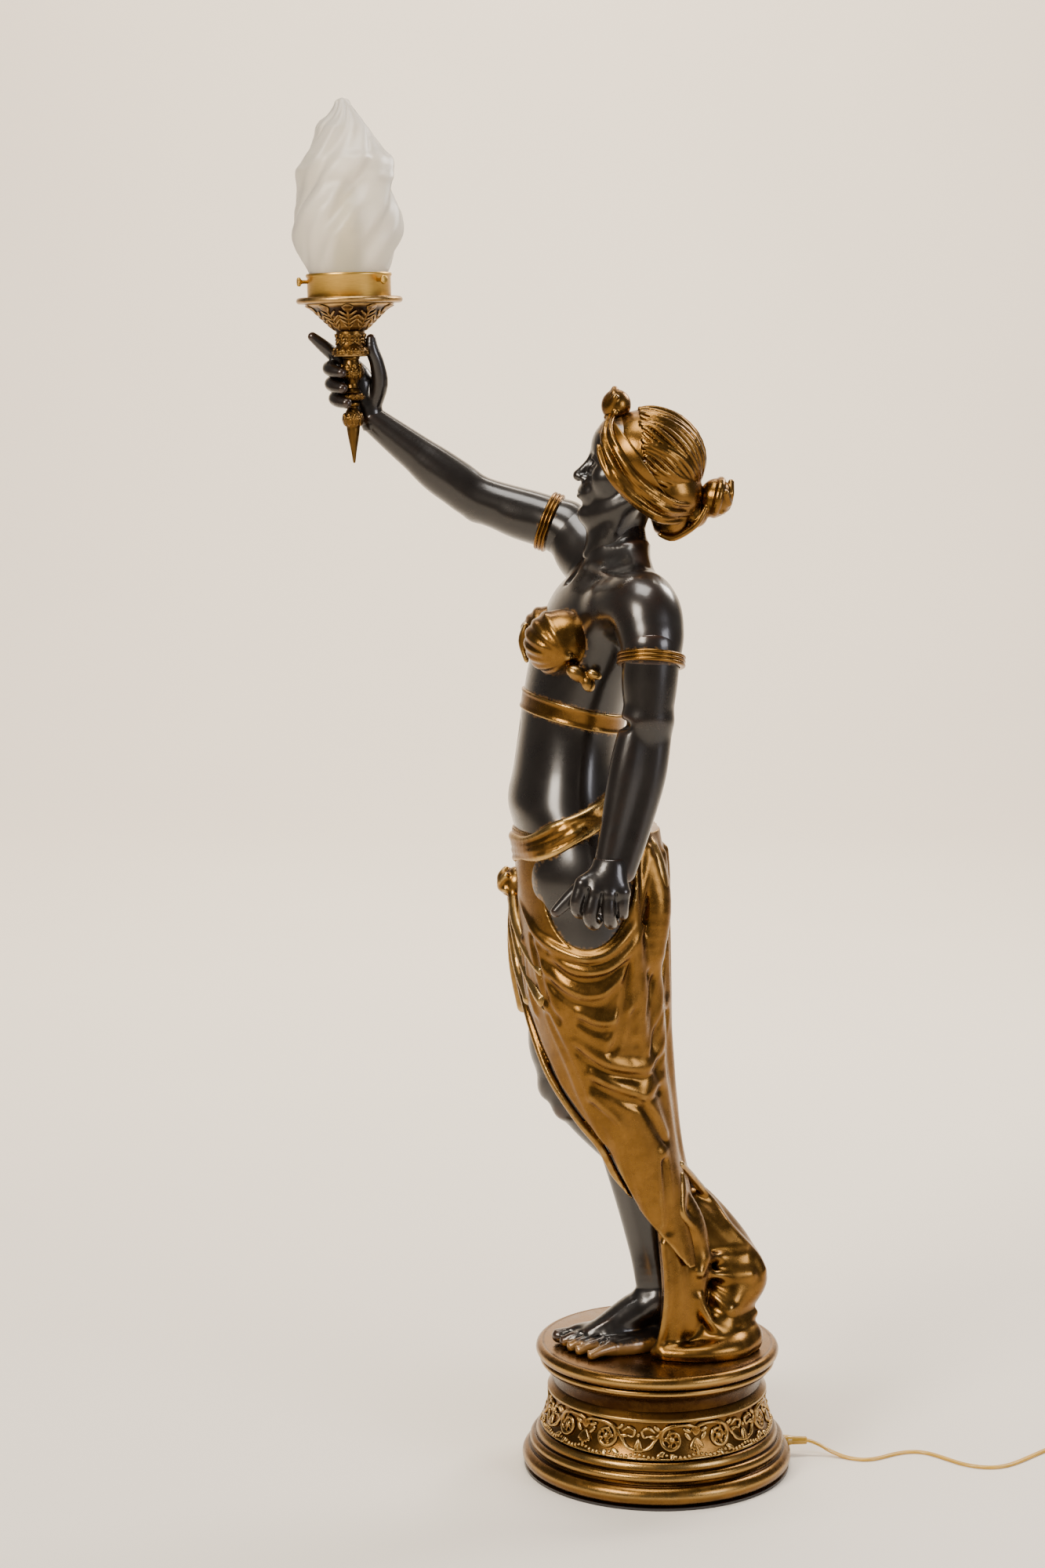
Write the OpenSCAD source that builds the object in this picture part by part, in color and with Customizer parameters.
// Torchiere floor lamp: a draped figure on a round plinth holds up a torch with a flame shade.
// Millimetres. +Z up, origin at the centre of the plinth's underside, the figure faces -X.

/* [Plinth] */
// Diameter across the foot of the plinth
plinth_d = 282; // [240:1:340]
// Diameter of the disc that the figure stands on
disc_d = 250; // [220:1:300]
// Height of the stepped foot
foot_h = 44; // [34:1:56]
// Height of the drum that carries the frieze
drum_h = 35; // [28:1:48]
// Height of the moulded cap
cap_h = 52; // [42:1:64]
// Thickness of the felt under the foot
felt_t = 3; // [2:0.5:5]
// Wall of the plinth castings
plinth_wall = 6; // [4:0.5:9]

/* [Figure] */
// Height of the figure, from the disc to the crown of the head
figure_h = 968; // [800:1:1170]
// Wall of the hollow castings
cast_wall = 5; // [3.5:0.5:7]
// How far belts, sashes and armlets stand proud of the skin
band_proud = 3; // [2:0.5:5]
// Width of the belt and the sash
band_w = 22; // [16:1:30]

/* [Torch] */
// Lean of the torch towards -X, in degrees
torch_lean = 1.3; // [0:0.1:4]
// Radius of the threaded lamp pipe
pipe_r = 4.85; // [4.2:0.05:5.2]
// Radius of the pipe's wire way
pipe_bore_r = 3.2; // [2.5:0.1:3.6]
// Radius of the drip pan
pan_r = 55; // [50:0.5:66]
// Thickness of the drip pan
pan_t = 6.5; // [5:0.5:9]

/* [Shade] */
// Radius of the glass neck
neck_r = 41.25; // [36:0.25:44]
// Wall of the glass
glass_t = 3; // [2.5:0.5:4.5]
// Height of the flame above the holder's floor
flame_h = 201; // [170:1:240]
// Widest radius of the flame
flame_r = 57; // [50:0.5:66]
// Inside height of the holder
holder_h = 24; // [20:0.5:30]
// Wall of the holder
holder_t = 1.1; // [0.9:0.1:2]
// Radius of a shade screw's shank
screw_r = 2; // [1.5:0.1:2.5]

/* [Fittings] */
// Radius of the cream sleeve over the lampholder
sleeve_r = 16; // [14:0.5:18]
// Height of the sleeve
sleeve_h = 40; // [32:1:48]
// Widest radius of the bulb
bulb_r = 17.5; // [15:0.5:22]
// Height of the bulb's glass
bulb_h = 72; // [58:1:86]
// Radius of the plinth bolts
bolt_r = 4; // [3:0.5:5]

/* [Cord] */
// Width of the flat twin lead
cord_w = 5.5; // [5:0.1:6.5]
// Radius at the middle of the coil's turns
coil_r = 31; // [28:1:40]
// Radius of the switch's thumb wheel
wheel_r = 9; // [8:0.5:11]

/* [Fits] */
// Gap between pieces that are cast or soldered against each other
seam = 0.25; // [0.15:0.05:0.5]
// Radial clearance of a shaft that turns or slides
run_gap = 0.05; // [0.02:0.01:0.09]
// Gap round a bolt in its hole
bolt_gap = 0.4; // [0.2:0.1:0.8]

/* [Hidden] */
$fn = 64;
skin = "#26201c";
gold = "#b88a3c";
brass_tone = "#c9a04a";
glass_tone = "#f1ece4";

plinth_h = felt_t + foot_h + drum_h + cap_h;
plinth_r = plinth_d / 2;
disc_r = disc_d / 2;
figure_k = figure_h / 968;
wall = cast_wall / figure_k;
gap = seam / figure_k;
proud = band_proud / figure_k;
limb_sides = 20;
body_sides = 32;

// ---------- sweeps ----------

function unit(v) = v / norm(v);
function place(p) = [p[0], p[1], p[2]];
function heading(p, i) = unit(place(p[min(i + 1, len(p) - 1)]) - place(p[max(i - 1, 0)]));
function spline(a, b, c, d, t) =
    0.5 * (2 * b + (c - a) * t + (2 * a - 5 * b + 4 * c - d) * t * t + (3 * b - a - 3 * c + d) * t * t * t);
// Stations with steps - 1 more between each two, on one smooth curve
function smooth(p, steps) = concat(
    [for (i = [0:len(p) - 2], k = [0:steps - 1])
        spline(p[max(i - 1, 0)], p[i], p[i + 1], p[min(i + 2, len(p) - 1)], k / steps)],
    [p[len(p) - 1]]);
// One level of a body: station is [z, centre x, centre y, half depth, half width, turn]
function level(s, grow, sides) = [for (i = [0:sides - 1])
    let (a = 360 * i / sides, x = (s[3] + grow) * cos(a), y = (s[4] + grow) * sin(a))
    [s[1] + x * cos(s[5]) - y * sin(s[5]), s[2] + x * sin(s[5]) + y * cos(s[5]), s[0]]];
// One round section of a limb: station is [x, y, z, radius]
function section(p, i, grow, sides) =
    let (t = heading(p, i), u = unit(cross(t, [0, 1, 0])), w = cross(t, u), r = p[i][3] + grow)
    [for (k = [0:sides - 1]) place(p[i]) + r * (cos(360 * k / sides) * u + sin(360 * k / sides) * w)];
function flat_list(rings) = [for (r = rings, p = r) p];
function ends(n, rings) = [[for (i = [0:n - 1]) i], [for (i = [n - 1:-1:0]) (rings - 1) * n + i]];

// A closed solid through rings of points that run upwards and anticlockwise
module loft(rings) {
    n = len(rings[0]);
    sides = [for (j = [0:len(rings) - 2], i = [0:n - 1])
        let (a = j * n + i, b = j * n + (i + 1) % n) each [[a, a + n, b], [b, a + n, b + n]]];
    polyhedron(flat_list(rings), concat(sides, ends(n, len(rings))));
}
module body_loft(stations, grow = 0, sides = body_sides) {
    loft([for (s = stations) level(s, grow, sides)]);
}
module limb(stations, grow = 0, sides = limb_sides) {
    loft([for (i = [0:len(stations) - 1]) section(stations, i, grow, sides)]);
}
// An upright egg: levels of half depth a, half width b and half height c about a centre
function egg(at, a, b, c) = [for (k = [0:10]) let (t = 9 + 16.2 * k)
    [at[2] - c * cos(t), at[0], at[1], a * sin(t), b * sin(t), 0]];
// The hollow inside a limb, run a little past both of its ends
module limb_bore(stations) {
    n = len(stations) - 1;
    first = place(stations[0]) - 2 * heading(stations, 0);
    last = place(stations[n]) + 2 * heading(stations, n);
    limb(concat([[first[0], first[1], first[2], stations[0][3]]], stations,
        [[last[0], last[1], last[2], stations[n][3]]]), -wall);
}
module on_disc() {
    translate([0, 0, plinth_h]) scale(figure_k) children();
}
// Half of space above a plane through p that rises by slope along +X
module above(p, slope) {
    translate(p) rotate([0, -atan(slope), 0]) translate([-400, -400, 0]) cube([800, 800, 1200]);
}
module below(p, slope) {
    translate(p) rotate([0, -atan(slope), 0]) translate([-400, -400, -1200]) cube([800, 800, 1200]);
}
module slab(p, slope, w) {
    translate(p) rotate([0, -atan(slope), 0]) translate([-400, -400, -w / 2]) cube([800, 800, w]);
}

// ---------- plinth ----------

drum_top_r = disc_r - 14;
drum_low_r = plinth_r - 20;
foot_z = felt_t;
drum_z = foot_z + foot_h;
cap_z = drum_z + drum_h;
bolt_ring_r = disc_r * 0.62;
bushing_y = 26;
bushing_r = 6;
bushing_z = foot_z + 11;
bushing_nose = 20;
foot_bolt_places = [[-34, -27], [70, 8], [62, -34]];
lead_at = [1, -10];

function arc(x, y, r, from, to, steps = 8) =
    [for (k = [0:steps]) [x + r * cos(from + (to - from) * k / steps), y + r * sin(from + (to - from) * k / steps)]];

module base_felt() {
    color("#1c1a18") cylinder(r = plinth_r - 2, h = felt_t, $fn = 128);
}
module plinth_foot() {
    low_h = foot_h * 0.46;
    mid_h = foot_h * 0.26;
    top_h = foot_h - low_h - mid_h;
    outline = concat(
        [[plinth_r - 2, 0]],
        arc(plinth_r - low_h / 2, low_h / 2, low_h / 2, -60, 75),
        [[plinth_r - 8, low_h], [plinth_r - 8, low_h + 1]],
        arc(plinth_r - 8 - mid_h / 2, low_h + 1 + mid_h / 2, mid_h / 2, -60, 75),
        [[plinth_r - 14, low_h + mid_h + 1], [plinth_r - 14, low_h + mid_h + 2]],
        [for (k = [1:6]) let (a = 15 * k)
            [plinth_r - 14 - 6 * (1 - cos(a)), low_h + mid_h + 2 + (top_h - 3) * sin(a)]],
        [[drum_low_r, foot_h]],
        [[drum_low_r - plinth_wall - 6, foot_h], [plinth_r - 20 - plinth_wall, low_h], [plinth_r - 8 - plinth_wall, 0]]);
    color(gold) difference() {
        translate([0, 0, foot_z]) rotate_extrude($fn = 128) polygon(outline);
        translate([plinth_r - 40, bushing_y, bushing_z]) rotate([0, 90, 0]) cylinder(r = bushing_r, h = 60);
    }
}
module plinth_drum() {
    hollow = 3;
    side = [for (k = [0:8]) let (t = k / 8)
        [drum_low_r + (drum_top_r - drum_low_r) * t - hollow * sin(180 * t), drum_h * t]];
    outline = concat(side, [for (k = [8:-1:0]) side[k] - [plinth_wall, 0]]);
    color(gold) translate([0, 0, drum_z]) rotate_extrude($fn = 128) polygon(outline);
}
module plinth_cap() {
    bead_h = cap_h * 0.27;
    cove_h = cap_h * 0.42;
    outline = concat(
        [[0, cap_h], [disc_r - 2, cap_h]],
        arc(disc_r + 2 - bead_h / 2, cap_h - bead_h / 2, bead_h / 2, 60, -75),
        [[disc_r - 3, cap_h - bead_h], [disc_r - 3, cap_h - bead_h - 1]],
        arc(disc_r - 5, cap_h - bead_h - 4, 3, 80, -80, 6),
        [[disc_r - 5, cap_h - bead_h - 8]],
        [for (k = [0:7]) let (a = 90 * k / 7)
            [disc_r - 5 - 11 * sin(a), cap_h - bead_h - 9 - (cove_h - 4) * (1 - cos(a))]],
        [[drum_top_r + 3, 4], [drum_top_r + 3, 1], [drum_top_r, 0]],
        [[drum_top_r - plinth_wall, 0], [drum_top_r - plinth_wall, cap_h - 14],
         [0, cap_h - 14]]);
    color(gold) difference() {
        translate([0, 0, cap_z]) rotate_extrude($fn = 128) polygon(outline);
        at_bolts() translate([0, 0, cap_z + cap_h - 20]) cylinder(r = bolt_r - 0.5, h = 15);
        on_disc_bolts() translate([0, 0, plinth_h - 20]) cylinder(r = bolt_r + bolt_gap, h = 30);
        lead_hole();
    }
}
module at_bolts() {
    for (k = [0:2]) rotate([0, 0, 100 + 120 * k]) translate([bolt_ring_r, 0, 0]) children();
}
module on_disc_bolts() {
    for (p = foot_bolt_places) translate([p[0] * figure_k, p[1] * figure_k, 0]) children();
}
module lead_hole() {
    translate([lead_at[0] * figure_k, lead_at[1] * figure_k, plinth_h - 20]) cylinder(r = 4, h = 30);
}
// Long bolts that pull the three plinth castings together, with a bar washer across the foot
module plinth_bolts() {
    color("#8d8d8d") at_bolts()
        translate([0, 0, foot_z + 9]) cylinder(r = bolt_r - 0.55, h = cap_z + cap_h - 6.5 - foot_z - 9);
}
module plinth_nuts() {
    color("#8d8d8d") at_bolts() translate([0, 0, foot_z + 12]) difference() {
        union() {
            cylinder(r = bolt_r * 1.75, h = 6, $fn = 6);
            translate([-14, -40, 6]) cube([38, 80, 4]);
        }
        translate([0, 0, -1]) cylinder(r = bolt_r - 0.5, h = 20);
    }
}
// Screws from under the cap into the feet of the figure
module foot_bolts() {
    color("#8d8d8d") on_disc_bolts() {
        translate([0, 0, plinth_h - 20]) cylinder(r = bolt_r, h = 20 - seam);
        translate([0, 0, plinth_h - 14 - 5 - seam]) cylinder(r = bolt_r * 1.75, h = 5, $fn = 6);
    }
}
// Tapered strain relief that grips the lead where it leaves the foot
module cord_bushing() {
    grip = cord_w / 2 + 0.1;
    mouth = plinth_r + bushing_nose;
    profile = [[grip, plinth_r - 14], [bushing_r - seam, plinth_r - 14], [bushing_r - seam, plinth_r],
        [bushing_r - 1.4, plinth_r + 4], [grip + 1.3, mouth - 1], [grip + 0.7, mouth], [grip, mouth]];
    color("#a8843c") translate([0, bushing_y, bushing_z]) rotate([0, 90, 0]) rotate_extrude() polygon(profile);
}

// ---------- figure: stations above the disc ----------

trunk = smooth([
    [466, -72, 0, 72, 96, 0], [506, -72, 0, 73, 97, 0], [541, -85, 0, 64, 88, 3], [572, -97, 2, 59, 78, 5],
    [606, -97, 4, 53, 69, 8], [646, -92, 6, 52, 66, 12], [684, -85, 6, 53, 71, 16], [716, -76, 5, 54, 78, 20],
    [751, -66, 3, 52, 86, 20], [781, -57, 1, 45, 88, 20], [801, -51, 3, 37, 68, 18], [816, -46, 6, 32, 44, 12],
    [830, -43, 8, 30, 33, 6]], 2);
left_shoulder = smooth([[-45, -62, 772, 32], [-24, -92, 774, 36], [-16, -108, 752, 33], [-15.5, -117, 728, 28.5]], 2);
right_shoulder = smooth([[-52, 62, 800, 32], [-68, 86, 814, 35], [-82, 98, 831, 31], [-96, 106, 843, 28.5]], 2);
left_forearm = smooth([[-15.5, -117, 727.7, 28.5], [-17, -124, 700, 25.5], [-20, -129, 660, 24.5], [-25, -133, 610, 24],
    [-37, -138, 560, 20], [-50, -141, 522, 16.5]], 2);
right_forearm = smooth([[-96.3, 106.1, 843.1, 28.5], [-130, 112, 855, 26.5], [-185, 118, 873, 24], [-215, 120, 893, 23.5],
    [-262, 121, 928, 18.5], [-298, 121, 956, 14]], 2);
left_shank = smooth([[-73, -49, 465, 43], [-68, -45, 370, 39], [-45, -39, 271, 27], [-28, -33, 205, 26.5],
    [-12, -22, 120, 21], [-1, -12, 70, 19.5], [2, -10, 36, 21]], 2);
right_shank = smooth([[-75, 49, 465, 43], [-92, 47, 370, 40], [-90, 44, 270, 28.5], [-45, 40, 215, 27],
    [10, 34, 165, 25], [48, 26, 130, 19]], 2);
skirt_levels = smooth([
    [76, 24, -20, 32, 42, 0], [116, 12, -18, 34, 46, 0], [166, -6, -16, 38, 54, 0], [216, -26, -13, 46, 65, 0],
    [266, -49, -6, 63, 79, 0], [316, -59, -1, 69, 88, 0], [366, -66, 0, 74, 94, 0], [426, -71, 0, 74, 98, 0],
    [465, -72, 0, 74, 98, 0]], 2);
heel_levels = smooth([[0, 56, -24, 40, 44, 0], [33, 59, -14, 35, 36, 0], [68, 77, 2, 36, 33, 0],
    [104, 60, 14, 38, 31, 0], [146, 26, 28, 34, 28, 0], [166, 14, 32, 22, 24, 0]], 2);
foot_turn = 0.31;
foot_levels = [[-108, 15, 8, 10], [-98, 15, 17, 12], [-70, 14, 27, 15], [-42, 20, 27, 20], [-10, 30, 23, 30],
    [22, 24, 22, 24], [40, 12, 14, 14]];
head_levels = smooth([[830.3, -42.5, 8, 30, 33, 0], [850, -44, 8, 32, 31, 0], [864, -50, 8, 33, 34, 0],
    [880, -42, 8, 41, 38, 0], [905, -28, 8, 53, 43, 0], [930, -22, 8, 55, 44, 0], [952, -18, 8, 48, 38, 0],
    [966, -16, 8, 28, 22, 0]], 2);
sash_at = [-98, 0, 546];
sash_slope = 0.5;
belt_at = [-92, 0, 664];
belt_slope = -0.24;
hem_at = [-14, 0, 140];
hem_slope = -1.3;

module left_foot_solid(grow = 0) {
    rings = [for (s = foot_levels) [for (k = [0:15])
        let (a = 22.5 * k, w = (s[2] + grow) * sin(a), h = max(0, s[1] + (s[3] + grow) * cos(a)))
        [s[0] + foot_turn * w, foot_turn * s[0] - 15.3 - w, h]]];
    loft(rings);
}
module left_leg() {
    color(skin) on_disc() difference() {
        union() {
            limb(left_shank);
            left_foot_solid();
        }
        limb_bore(left_shank);
        hip_level();
        foot_bolt_holes();
        translate([lead_at[0], lead_at[1], -1]) cylinder(r = 4, h = 40);
    }
}
module foot_bolt_holes() {
    for (p = foot_bolt_places) translate([p[0], p[1], -30]) cylinder(r = bolt_r / figure_k + 0.3, h = 42);
}
module right_leg() {
    color(skin) on_disc() difference() {
        limb(right_shank);
        limb_bore(right_shank);
        hip_level();
    }
}
// Everything above the underside of the hips
module hip_level() {
    translate([-250, -200, 466 - gap]) cube([400, 400, 60]);
}
module skirt() {
    color(gold) on_disc() difference() {
        body_loft(skirt_levels);
        body_loft(skirt_levels, -wall);
        below(hem_at, hem_slope);
        limb(right_shank, 1);
        limb(left_shank, gap);
        body_loft(heel_levels, gap, 24);
        translate([-150, 60, 100]) rotate([0, 0, -20]) cube([90, 90, 280]);
    }
}
module heel_drape() {
    color(gold) on_disc() difference() {
        body_loft(heel_levels, 0, 24);
        limb(right_shank, gap);
        translate([-60, -100, -1]) cube([106, 118, 131]);
        translate([-60, -100, 129]) cube([74, 118, 60]);
        foot_bolt_holes();
    }
}
module trunk_solid(grow = 0) {
    body_loft(trunk, grow);
}
module hips() {
    color(skin) on_disc() difference() {
        trunk_solid();
        above(sash_at, sash_slope);
        intersection() {
            trunk_solid(-wall);
            translate([-300, -300, 466 + wall]) cube([600, 600, 300]);
        }
        for (s = [left_shank[0], right_shank[0]])
            translate([s[0], s[1], 400]) cylinder(r = s[3] * 0.5, h = 100);
    }
}
module hip_sash() {
    color(gold) on_disc() difference() {
        intersection() {
            trunk_solid(proud);
            slab(sash_at + [0, 0, 2], sash_slope, band_w);
        }
        trunk_solid(gap);
    }
}
module knot_solid(grow = 0) {
    body_loft(egg([-146, 18, 482], 17, 19, 20), grow, 20);
    body_loft(egg([-146, 30, 464], 11, 13, 13), grow, 20);
}
module sash_knot() {
    color(gold) on_disc() difference() {
        knot_solid();
        trunk_solid(proud + gap);
        body_loft(skirt_levels, gap);
    }
}
// The cloth that hangs in a fold from the back of the sash
module back_fold() {
    color(gold) on_disc() difference() {
        body_loft(smooth([[470, -6, 0, 14, 58, 0], [500, -7, 0, 17, 62, 0], [530, -18, 0, 16, 52, 0],
            [545, -28, 0, 14, 40, 0]], 2), 0, 24);
        trunk_solid(proud + gap);
        body_loft(skirt_levels, gap);
    }
}
// The cloth that falls from the knot down the front
module front_fall() {
    color(gold) on_disc() difference() {
        body_loft(smooth([[350, -118, 10, 24, 22, 0], [400, -128, 12, 24, 26, 0], [450, -134, 14, 20, 24, 0],
            [462, -136, 14, 16, 20, 0]], 2), 0, 24);
        body_loft(skirt_levels, gap);
        limb(right_shank, 1 + gap);
        knot_solid(2 * gap);
        trunk_solid(proud + gap);
    }
}
module torso() {
    color(skin) on_disc() difference() {
        union() {
            trunk_solid();
            limb(left_shoulder);
            limb(right_shoulder);
        }
        below(sash_at + [0, 0, gap], sash_slope);
        trunk_solid(-wall);
        limb(left_shoulder, -wall);
        limb(right_shoulder, -wall);
    }
}
module bust_belt() {
    color(gold) on_disc() difference() {
        intersection() {
            trunk_solid(proud);
            slab(belt_at, belt_slope, band_w);
        }
        trunk_solid(gap);
    }
}
module bodice() {
    color(gold) on_disc() difference() {
        union() {
            body_loft(egg([-108, -44, 728], 31, 30, 30), 0, 20);
            body_loft(egg([-113, 30, 730], 30, 30, 30), 0, 20);
            intersection() {
                trunk_solid(proud + 2);
                slab([-92, 0, 722], -0.2, 34);
                translate([-200, -200, 600]) cube([150, 400, 200]);
            }
        }
        trunk_solid(gap);
        limb(left_shoulder, gap);
        limb(right_shoulder, gap);
        slab(belt_at, belt_slope, band_w + 2 * gap);
    }
}
module head() {
    color(skin) on_disc() difference() {
        union() {
            body_loft(head_levels);
            translate([-80, 8, 902]) rotate([0, 24, 0]) cylinder(r1 = 6, r2 = 2.5, h = 20);
            body_loft(egg([-70, 8, 868], 12, 12, 10), 0, 16);
        }
        body_loft([for (i = [0:8]) head_levels[i]], -wall);
    }
}
hair_centre = [-14, 8, 916];
module hair_solid(grow = 0) {
    translate(hair_centre) rotate([0, -18, 0]) body_loft(egg([0, 0, 0], 55 + grow, 50 + grow, 53 + grow), 0, 24);
}
module hair() {
    color(gold) on_disc() difference() {
        hair_solid();
        body_loft(head_levels, gap);
        translate([-80, 8, 902]) rotate([0, 24, 0]) cylinder(r = 10, h = 24);
        below([-42, 0, 872], -0.9);
        translate([-160, -100, 800]) rotate([0, 14, 0]) cube([88, 216, 200]);
    }
}
module ribbon_slab(extra = 0) {
    translate(hair_centre + [-12, 0, 8]) rotate([0, 38, 0]) translate([-100, -100, -9 - extra / 2])
        cube([200, 200, 18 + extra]);
}
module hair_ribbon() {
    color(gold) on_disc() difference() {
        intersection() {
            hair_solid(2.5);
            ribbon_slab();
        }
        hair_solid(gap);
        body_loft(head_levels, gap);
        translate([-160, -100, 800]) rotate([0, 14, 0]) cube([88, 216, 200]);
    }
}
module top_knot() {
    color(gold) on_disc() difference() {
        body_loft(egg([-47, 8, 966], 19, 20, 18), 0, 20);
        hair_solid(2.5 + gap);
        body_loft(head_levels, gap);
    }
}
module hair_bun() {
    color(gold) on_disc() difference() {
        union() {
            body_loft(egg([50, 8, 880], 22, 22, 22), 0, 20);
            body_loft(egg([34, 8, 862], 17, 17, 17), 0, 20);
        }
        hair_solid(2.5 + gap);
        body_loft(head_levels, gap);
    }
}

// ---------- arms ----------

module armlet(station, tangent) {
    r = station[3] + 2.2;
    turn = [0, acos(tangent[2]), atan2(tangent[1], tangent[0])];
    translate(place(station)) rotate(turn) rotate_extrude() {
        for (k = [-1:1]) translate([r + gap + 1.7, 3.6 * k]) circle(r = 1.9, $fn = 24);
        translate([r + gap, -5.4]) square([2, 10.8]);
    }
}
module left_arm() {
    color(skin) on_disc() difference() {
        limb(left_forearm);
        limb_bore(left_forearm);
        limb(left_shoulder, gap);
    }
}
module left_armlet() {
    color(gold) on_disc() armlet(left_forearm[0], heading(left_forearm, 0));
}
module left_hand() {
    color(skin) on_disc() difference() {
        union() {
            limb([[-50.2, -141.1, 521.6, 16.3], [-53, -143, 508, 18], [-56, -146, 496, 18.5], [-58, -149, 486, 15]]);
            limb([[-60, -132, 506, 8], [-74, -130, 494, 7.5], [-88, -130, 486, 6.5], [-102, -132, 482, 4.5]], 0, 12);
            for (f = [[-72, -153, 489, -78, -156, 486], [-62, -156, 484, -64, -160, 480],
                      [-52, -156, 484, -50, -160, 480], [-42, -152, 488, -37, -154, 486]])
                limb([[f[0], f[1] + 6, f[2] + 4, 7], [f[3], f[4], f[5] - 4, 6.5], [f[3] - 1, f[4] + 3, f[5] - 16, 5.5]], 0, 12);
        }
        limb(left_forearm, gap);
    }
}
module right_arm() {
    color(skin) on_disc() difference() {
        limb(right_forearm);
        limb_bore(right_forearm);
        limb(right_shoulder, gap);
    }
}
module right_armlet() {
    color(gold) on_disc() armlet(right_forearm[1], heading(right_forearm, 1));
}

// ---------- torch: heights along its axis from the spike's point ----------

torch_foot = [-316 * figure_k, 100 * figure_k, plinth_h + 911.5 * figure_k];
spike_top = 57.6;
knop_top = 77;
grip_top = 108.7;
crown_top = 134.6;
cup_top = 163;
pan_top = cup_top + pan_t;
holder_floor = pan_top + 1.5;
stud_r = 2.5;
// Height along the torch at which the lead comes in from the palm
lead_in = 93;
lead_r = 2.2;
cup_wall = 2.5;

module on_torch() {
    translate(torch_foot) rotate([0, -torch_lean, 0]) children();
}
spike_side = [[1.2, 0], [2.4, 8], [3.7, 16], [5.2, 24], [6.5, 32], [7, 36.5], [8.6, 40.5], [9.7, 44.6], [9.1, 48.7],
    [7.4, 52.7], [5.6, 56], [5.5, spike_top]];
knop_side = [[5.6, 0], [7.2, 1.4], [7.3, 4], [6.2, 5.7], [8.5, 6.4], [11.4, 8], [12, 9.7], [11.2, 12], [8.8, 13.8],
    [9, 15.4], [7, 19.4]];
grip_side = [[7, 0], [6.3, 4], [7.7, 8], [10.6, 12], [11.4, 16.3], [10, 20.4], [9, 24.5], [8.1, 28.4], [9, 30], [9, 31.7]];
crown_side = [[10, 0], [17, 0.4], [18.2, 2.3], [18.3, 6.3], [15.8, 10.3], [14.2, 14.6], [14.2, 20.3], [15, 22.3], [14.8, 25.9]];
cup_side = [[15, 0], [20, 4.9], [26.4, 11.4], [34.5, 19.4], [39.4, 23.4], [45, 26.8], [46, 28.4]];

// A turned piece with a bore up the middle
module turned(side, r) {
    h = side[len(side) - 1][1];
    rotate_extrude() polygon(concat([[r, side[0][1]]], side, [[r, h]]));
}
module torch_spike() {
    color(brass_tone) on_torch() difference() {
        rotate_extrude() polygon(concat([[0, 0]], spike_side, [[0, spike_top]]));
        translate([0, 0, spike_top - 18]) cylinder(r = stud_r, h = 20);
    }
}
module torch_knop() {
    color(brass_tone) on_torch() translate([0, 0, spike_top + 0.02]) union() {
        difference() {
            rotate_extrude() polygon(concat([[0, 0]], knop_side, [[0, 19.38]]));
            translate([0, 0, 9]) cylinder(r = pipe_r + run_gap, h = 20);
        }
        translate([0, 0, -16]) cylinder(r = stud_r - run_gap, h = 18);
    }
}
module torch_grip() {
    color(brass_tone) on_torch() difference() {
        translate([0, 0, knop_top + 0.02]) turned([for (p = grip_side) [p[0], min(p[1], 31.66)]], pipe_r + run_gap);
        translate([0, 0, lead_in]) rotate([-90, 0, 0]) cylinder(r = lead_r + 1.2, h = 20);
    }
}
module torch_crown() {
    color(brass_tone) on_torch() translate([0, 0, grip_top + 0.02]) turned([for (p = crown_side) [p[0], min(p[1], 25.86)]], pipe_r + run_gap);
}
module torch_cup() {
    outer = [for (p = cup_side) [p[0], p[1] + 0.02]];
    inner = [for (i = [len(cup_side) - 1:-1:1]) [cup_side[i][0] - cup_wall - 1, cup_side[i][1] + 0.02]];
    color("#7d5a2c") on_torch() translate([0, 0, crown_top])
        rotate_extrude($fn = 96) polygon(concat([[pipe_r + run_gap, 0.02]], outer, inner, [[pipe_r + run_gap, 4.9]]));
}
module drip_pan() {
    edge = pan_t / 2;
    outline = concat([[pipe_r + run_gap, 0], [pan_r - edge, 0]], arc(pan_r - edge, edge, edge, -90, 90),
        [[pan_r - edge - 2, pan_t], [pan_r - edge - 4, pan_t - 1], [pipe_r + run_gap, pan_t - 1]]);
    color("#8a6230") on_torch() translate([0, 0, cup_top + 0.45]) rotate_extrude($fn = 96) polygon(outline);
}
pipe_low = spike_top + 10;
pipe_top = holder_floor + 22;
module lamp_pipe() {
    color("#9a9a92") on_torch() difference() {
        translate([0, 0, pipe_low]) cylinder(r = pipe_r, h = pipe_top - pipe_low);
        translate([0, 0, pipe_low + 3]) cylinder(r = pipe_bore_r, h = pipe_top - pipe_low);
        translate([0, 0, lead_in]) rotate([-90, 0, 0]) cylinder(r = lead_r + 0.8, h = 20);
    }
}
module pipe_nuts() {
    color("#9a9a92") on_torch() for (z = [crown_top + 5.2, holder_z + holder_t + 0.1]) translate([0, 0, z]) difference() {
        cylinder(r = pipe_r + 4, h = 4, $fn = 6);
        translate([0, 0, -1]) cylinder(r = pipe_r + 0.02, h = 8);
    }
}

// ---------- shade, its holder and screws ----------

holder_r = neck_r + 0.9;
holder_z = pan_top - 0.5;
neck_z = holder_z + holder_t + 0.3;
screw_turns = [-164, -44, 76];
screw_z = holder_z + 17;
screw_tip = neck_r + 0.15;
screw_travel = 4;

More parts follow.
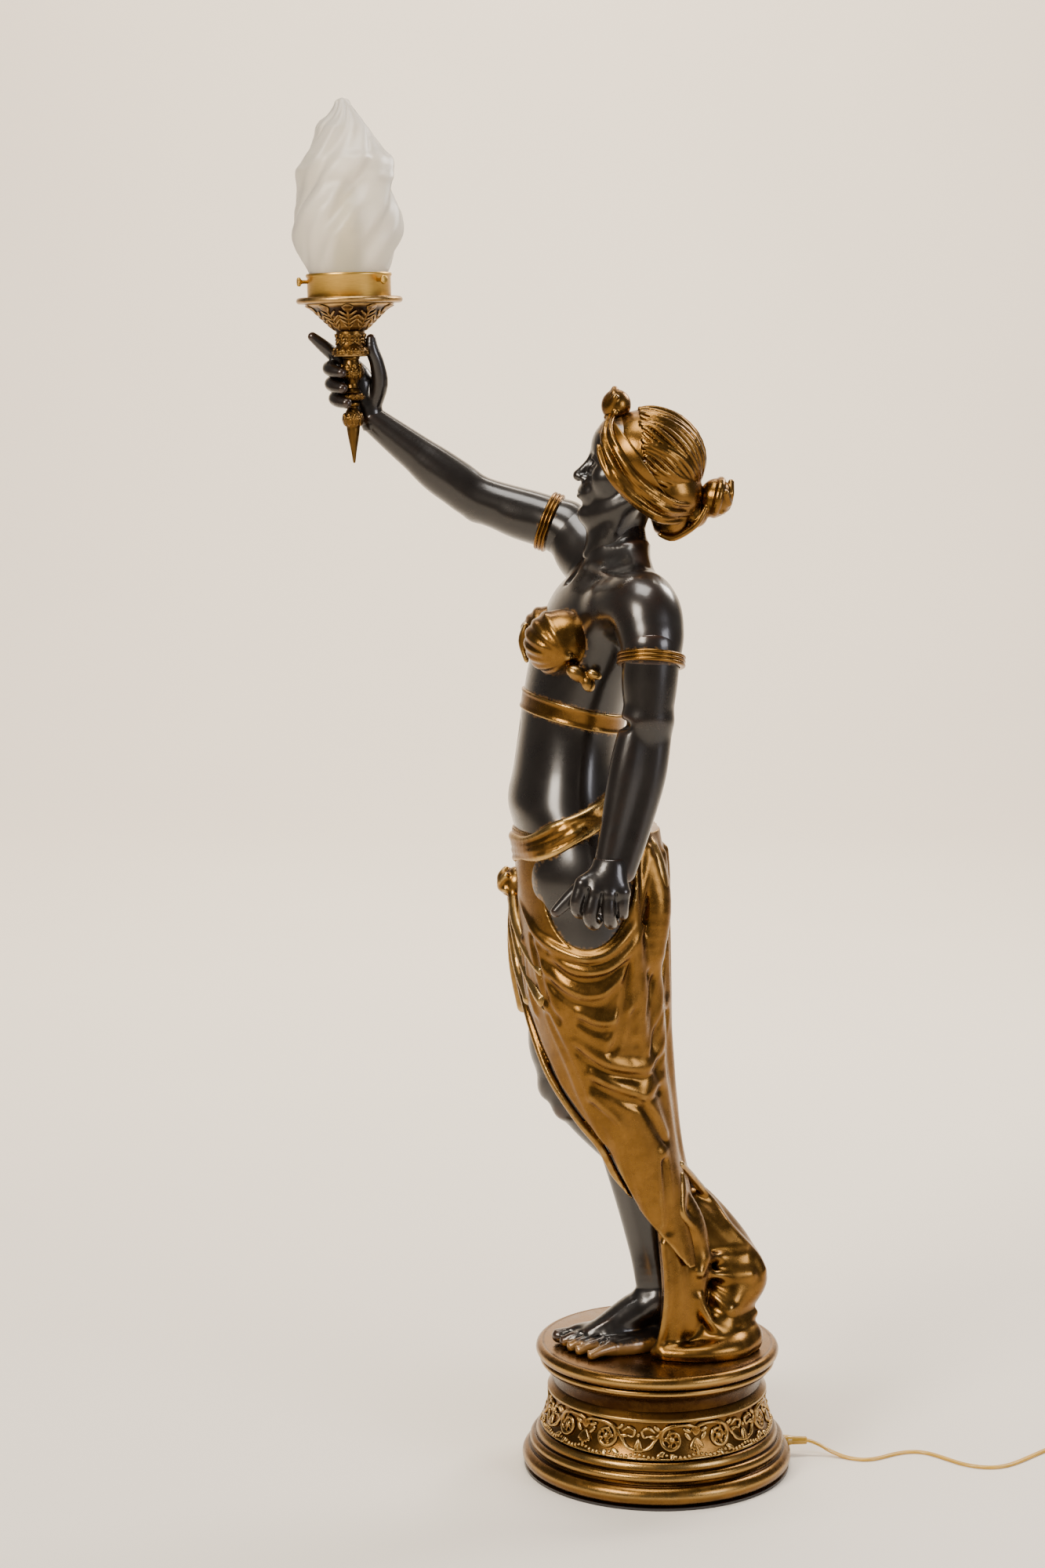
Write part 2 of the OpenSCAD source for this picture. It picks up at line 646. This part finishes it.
module shade_holder() {
    out = holder_r + holder_t;
    outline = [[pipe_r + run_gap, 0], [out, 0], [out, holder_h + holder_t], [holder_r, holder_h + holder_t],
        [holder_r, holder_t], [pipe_r + run_gap, holder_t]];
    color(brass_tone) on_torch() difference() {
        union() {
            translate([0, 0, holder_z]) rotate_extrude($fn = 128) polygon(outline);
            at_screws() cylinder(r = screw_r + 1.8, h = 3);
        }
        at_screws() translate([0, 0, -12]) cylinder(r = screw_r + run_gap, h = 24);
        translate([0, 0, holder_z + holder_t]) cylinder(r = holder_r, h = 60, $fn = 128);
    }
}
// A frame at each screw's boss on the holder's wall, with +Z leading outwards
module at_screws() {
    for (k = [0:2]) at_screw(k) children();
}
module at_screw(k) {
    rotate([0, 0, screw_turns[k]]) translate([holder_r + holder_t - 0.8, 0, screw_z]) rotate([0, 90, 0]) children();
}
module shade_screw(k) {
    inner = screw_tip - (holder_r + holder_t - 0.8);
    color(brass_tone) on_torch() at_screw(k) {
        rotate_extrude() polygon([[0, inner], [screw_r, inner], [screw_r, 7], [2.6, 8], [4.2, 9.6], [4.2, 11.4], [3.6, 12],
            [0, 12]]);
    }
}
flame_side = [[0, 0], [0.1, 0.86], [0.2, 0.99], [0.28, 1], [0.36, 0.965], [0.43, 0.88], [0.5, 0.81], [0.57, 0.81],
    [0.64, 0.78], [0.71, 0.66], [0.78, 0.53], [0.84, 0.44], [0.9, 0.28], [0.95, 0.17], [0.985, 0.12], [1, 0.02]];
shade_neck_h = holder_h + 1;
function flame_radius(p) = p[0] == 0 ? neck_r : flame_r * p[1];
module shade() {
    rise = flame_h - shade_neck_h;
    outer = [for (p = flame_side) [flame_radius(p), shade_neck_h + rise * p[0]]];
    inner = [for (i = [len(flame_side) - 4:-1:0]) [flame_radius(flame_side[i]) - glass_t, shade_neck_h + rise * flame_side[i][0]]];
    color(glass_tone) on_torch() translate([0, 0, neck_z]) rotate_extrude($fn = 96) polygon(concat(
        [[neck_r - glass_t, 0], [neck_r, 0]], outer, [[0, flame_h], [0, shade_neck_h + rise * 0.93]], inner));
}
socket_z = holder_floor + 6;
module lampholder() {
    color("#2c2a28") on_torch() difference() {
        union() {
            translate([0, 0, socket_z]) cylinder(r = 8, h = 8);
            translate([0, 0, socket_z + 8]) cylinder(r = sleeve_r - 1.5, h = sleeve_h - 8);
        }
        translate([0, 0, socket_z - 1]) cylinder(r = pipe_r + run_gap, h = 18);
        translate([0, 0, socket_z + 18]) cylinder(r = 12.8, h = 60);
    }
}
module holder_sleeve() {
    color("#efe3bd") on_torch() translate([0, 0, socket_z + 1]) difference() {
        cylinder(r = sleeve_r, h = sleeve_h);
        translate([0, 0, -1]) cylinder(r = sleeve_r - 1.3, h = sleeve_h + 2);
    }
}
bulb_z = socket_z + sleeve_h + 1.5;
module bulb_base() {
    color("#b9b6ad") on_torch() {
        translate([0, 0, bulb_z - 21]) cylinder(r = 12.7, h = 20.9);
        translate([0, 0, bulb_z - 22.5]) cylinder(r = 4, h = 1.6);
    }
}
module bulb_glass() {
    side = [[12.4, 0], [13, 3], [15.5, 12], [bulb_r - 0.4, 22], [bulb_r, 30], [bulb_r - 1, 38], [14.5, 48], [10.5, 58],
        [6, 66], [3, 70], [1, bulb_h]];
    color("#f4ecd2") on_torch() translate([0, 0, bulb_z]) rotate_extrude()
        polygon(concat([[0, 0]], side, [[0, bulb_h]]));
}

// ---------- the hand that holds the torch ----------

module torch_room() {
    on_torch() {
        cylinder(r = 8 + seam, h = 40);
        translate([0, 0, 36]) cylinder(r = 10 + seam, h = 22);
        translate([0, 0, 57]) cylinder(r = 12.3 + seam, h = 52);
        translate([0, 0, 107]) cylinder(r = 18.6 + seam, h = 80);
    }
}
module right_hand() {
    color(skin) difference() {
        on_disc() union() {
            limb([[-298.3, 121, 956.3, 13.8], [-303, 122, 968, 14], [-306, 124, 982, 15], [-310, 124, 998, 14],
                [-316, 124, 1010, 10]]);
            limb([[-296, 116, 972, 9], [-289, 112, 994, 8.5], [-291, 106, 1014, 7.5], [-296, 102, 1030, 7],
                [-296, 101, 1040, 5]], 0, 12);
            limb([[-318, 124, 1008, 8], [-330, 118, 1018, 7.5], [-346, 112, 1032, 6.8], [-359, 110, 1042, 5]], 0, 12);
            for (z = [[1007, 0, 0], [991, 1, 2], [976, 5, 6]])
                limb([[-316 + z[1], 126, z[0] + 2, 8], [-331 + z[2], 120, z[0] + 3, 8], [-340 + z[2], 106, z[0] + 2, 7.8],
                    [-336 + z[2], 93, z[0] - 1, 7.2], [-328 + z[1], 86, z[0] - 3, 6]], 0, 12);
        }
        torch_room();
        on_disc() limb(right_forearm, gap);
        on_disc() limb([for (p = lead_route) if (p[2] > 930) [p[0], p[1], p[2], lead_r + 1.2]], 0, 12);
    }
}

// ---------- the lead inside the castings ----------

// A point on the torch's axis, counted from the disc as the figure's stations are
function torch_at(h) = (torch_foot - [0, 0, plinth_h] + h * [-sin(torch_lean), 0, cos(torch_lean)]) / figure_k;
lead_route = concat(
    [[1, -10, -30], [1, -10, 40], [-1, -12, 80], [-12, -22, 120], [-28, -33, 205], [-45, -39, 271], [-68, -45, 370],
     [-72, -46, 450], [-74, -30, 520], [-90, 0, 600], [-84, 6, 690], [-66, 6, 745], [-64, 40, 785], [-76, 90, 822],
     [-96, 106, 843], [-130, 112, 855], [-185, 118, 873], [-215, 120, 893], [-262, 121, 928], [-298, 121, 956]],
    [torch_at(lead_in) + [12, 21, -26], torch_at(lead_in) + [5, 19, -10], torch_at(lead_in) + [1, 14, -1],
     torch_at(lead_in) + [0.8, 8, 0], torch_at(lead_in) + [0.4, 4, 0]]);
module inner_lead() {
    color("#d8b24c") on_disc() limb([for (p = lead_route) [p[0], p[1], p[2], lead_r]], 0, 8);
}

// ---------- cord ----------

cord_h = 3;
cord_z = cord_h / 2 + 0.1;
coil_at = [482, -20, 0];
coil_columns = 4;
coil_layers = 2;
switch_at = [475, 44, 0];
switch_l = 56;
switch_w = 26;
switch_h = 14;
plug_at = [482, -82, 0];
plug_l = 32;
plug_w = 25;
plug_h = 13;
// The lead from the foot to the switch, from the switch to the coil, and from the coil to the plug
route_1 = [
    [130, 26, 14], [140, 26, 14], [150, 26, 14], [156, 26, 14], [162, 26, 13.9], [169, 25, 12], [177, 22.4, 9],
    [185, 18, 5.4], [192, 14, 3.4], [199, 9.8, 2.1], [208, 5, cord_z], [219, 2, cord_z], [230, 4, cord_z],
    [241, 10, cord_z], [253, 18, cord_z], [265, 23.4, cord_z], [278, 25, cord_z], [290, 20.4, cord_z],
    [300, 11.6, cord_z], [310, 1, cord_z], [320, -9, cord_z], [333, -17, cord_z], [348, -20.6, cord_z],
    [363, -17.4, cord_z], [376, -9, cord_z], [388, 2, cord_z], [400, 14, cord_z], [411, 25, cord_z], [421, 34, 2],
    [431, 40.4, 3.6], [439, 43.4, 6], [443, 44, 7], [446.8, 44, 7]];
route_2 = [[503.2, 44, 7], [507, 44, 7], [512, 42, 5.4], [517, 38, 3.2], [520.6, 31, 1.9], [522.4, 21, cord_z],
    [522.6, 10, cord_z], [522, -2, cord_z]];
route_3 = [[521.8, -38, 4], [521.6, -46, 3], [521, -56, 1.9], [517, -67, cord_z], [509, -76, 2.2],
    [499, -81, 4.6], [491, -82, 6.4], [486, -82, 6.5], [482.2, -82, 6.5]];

// One flat section of the lead: as wide as cord_w across the floor
function lead_ring(p, i) = let (t = heading(p, i), w = unit(cross([0, 0, 1], t)), u = cross(t, w))
    [for (k = [0:7]) place(p[i]) + cord_w / 2 * cos(45 * k) * w + cord_h / 2 * sin(45 * k) * u];
module lead(p) {
    loft([for (i = [0:len(p) - 1]) lead_ring(p, i)]);
}
module power_cord() {
    color("#d8b24c") difference() {
        union() {
            lead(route_1);
            lead(route_2);
            lead(route_3);
        }
        coil_shape(coil_gap);
    }
}
coil_gap = 0.05;
module coil_shape(grow = 0) {
    half = coil_columns * cord_w / 2 + grow;
    translate(coil_at + [0, 0, 0.1 - grow]) rotate_extrude($fn = 64)
        translate([coil_r - half, 0]) square([2 * half, coil_layers * cord_h + 2 * grow]);
}
module cord_coil() {
    color("#d8b24c") coil_shape();
}
// A twist tie round the coil's turns
module coil_tie() {
    half = coil_columns * cord_w / 2;
    color("#2a2a2a") translate(coil_at + [-coil_r, 0, 0]) rotate([90, 0, 0]) difference() {
        translate([-half - 1.2, 0, -2]) cube([2 * half + 2.4, coil_layers * cord_h + 1.6, 4]);
        translate([-half - 0.2, -0.1, -3]) cube([2 * half + 0.4, coil_layers * cord_h + 0.5, 6]);
    }
}
wheel_t = 5;
wheel_y = 6.5;
module switch_body() {
    color("#c8a24a") translate(switch_at) difference() {
        translate([0, 0, 0.1]) linear_extrude(switch_h - 0.1) hull() {
            square([switch_l - 16, switch_w], center = true);
            square([switch_l, switch_w - 13], center = true);
        }
        translate([0, -wheel_y, switch_h / 2 - wheel_t / 2 - 0.4]) difference() {
            cylinder(r = wheel_r + 0.8, h = wheel_t + 0.8);
            translate([0, 0, -1]) cylinder(r = 2, h = wheel_t + 3);
        }
        for (x = [-18, 18]) translate([x, 0, switch_h - 2]) cylinder(r = 2.6, h = 3);
    }
}
module switch_wheel() {
    color("#e8d9a8") translate(switch_at + [0, -wheel_y, switch_h / 2 - wheel_t / 2]) difference() {
        cylinder(r = wheel_r, h = wheel_t);
        translate([0, 0, -1]) cylinder(r = 2 + run_gap, h = wheel_t + 2);
        for (k = [0:17]) rotate([0, 0, 20 * k]) translate([wheel_r + 0.4, 0, -1]) cylinder(r = 0.9, h = wheel_t + 2);
    }
}
module plug_body() {
    color("#c8a24a") translate(plug_at) difference() {
        union() {
            translate([-plug_l + 10, 0, 0.1]) linear_extrude(plug_h - 0.1) hull() {
                square([plug_l - 20, plug_w], center = true);
                translate([8, 0]) square([2, plug_w - 8], center = true);
                translate([-10.9, 0]) square([0.2, plug_w], center = true);
            }
            translate([-14, 0, plug_h / 2]) rotate([0, 90, 0]) cylinder(r1 = 6.2, r2 = 4.2, h = 14);
        }
        blade_pair(0.02);
    }
}
blade_face = -plug_l - 0.5;
module blade_pair(grow = 0) {
    for (s = [[-1, 6.35], [1, 7.9]])
        translate([blade_face - 16, s[0] * 6.35 - 0.75 - grow, plug_h / 2 - s[1] / 2 - grow])
            cube([26, 1.5 + 2 * grow, s[1] + 2 * grow]);
}
module plug_blades() {
    color("#c9a860") translate(plug_at) blade_pair();
}

base_felt();
plinth_foot();
plinth_drum();
plinth_cap();
plinth_bolts();
plinth_nuts();
foot_bolts();
cord_bushing();
left_leg();
right_leg();
skirt();
heel_drape();
hips();
hip_sash();
sash_knot();
back_fold();
front_fall();
torso();
bust_belt();
bodice();
head();
hair();
hair_ribbon();
top_knot();
hair_bun();
left_arm();
left_armlet();
left_hand();
right_arm();
right_armlet();
right_hand();
torch_spike();
torch_knop();
torch_grip();
torch_crown();
torch_cup();
drip_pan();
lamp_pipe();
pipe_nuts();
shade_holder();
shade_screw(0);  // shade_screw_1
shade_screw(1);  // shade_screw_2
shade_screw(2);  // shade_screw_3
shade();
lampholder();
holder_sleeve();
bulb_base();
bulb_glass();
inner_lead();
power_cord();
cord_coil();
coil_tie();
switch_body();
switch_wheel();
plug_body();
plug_blades();
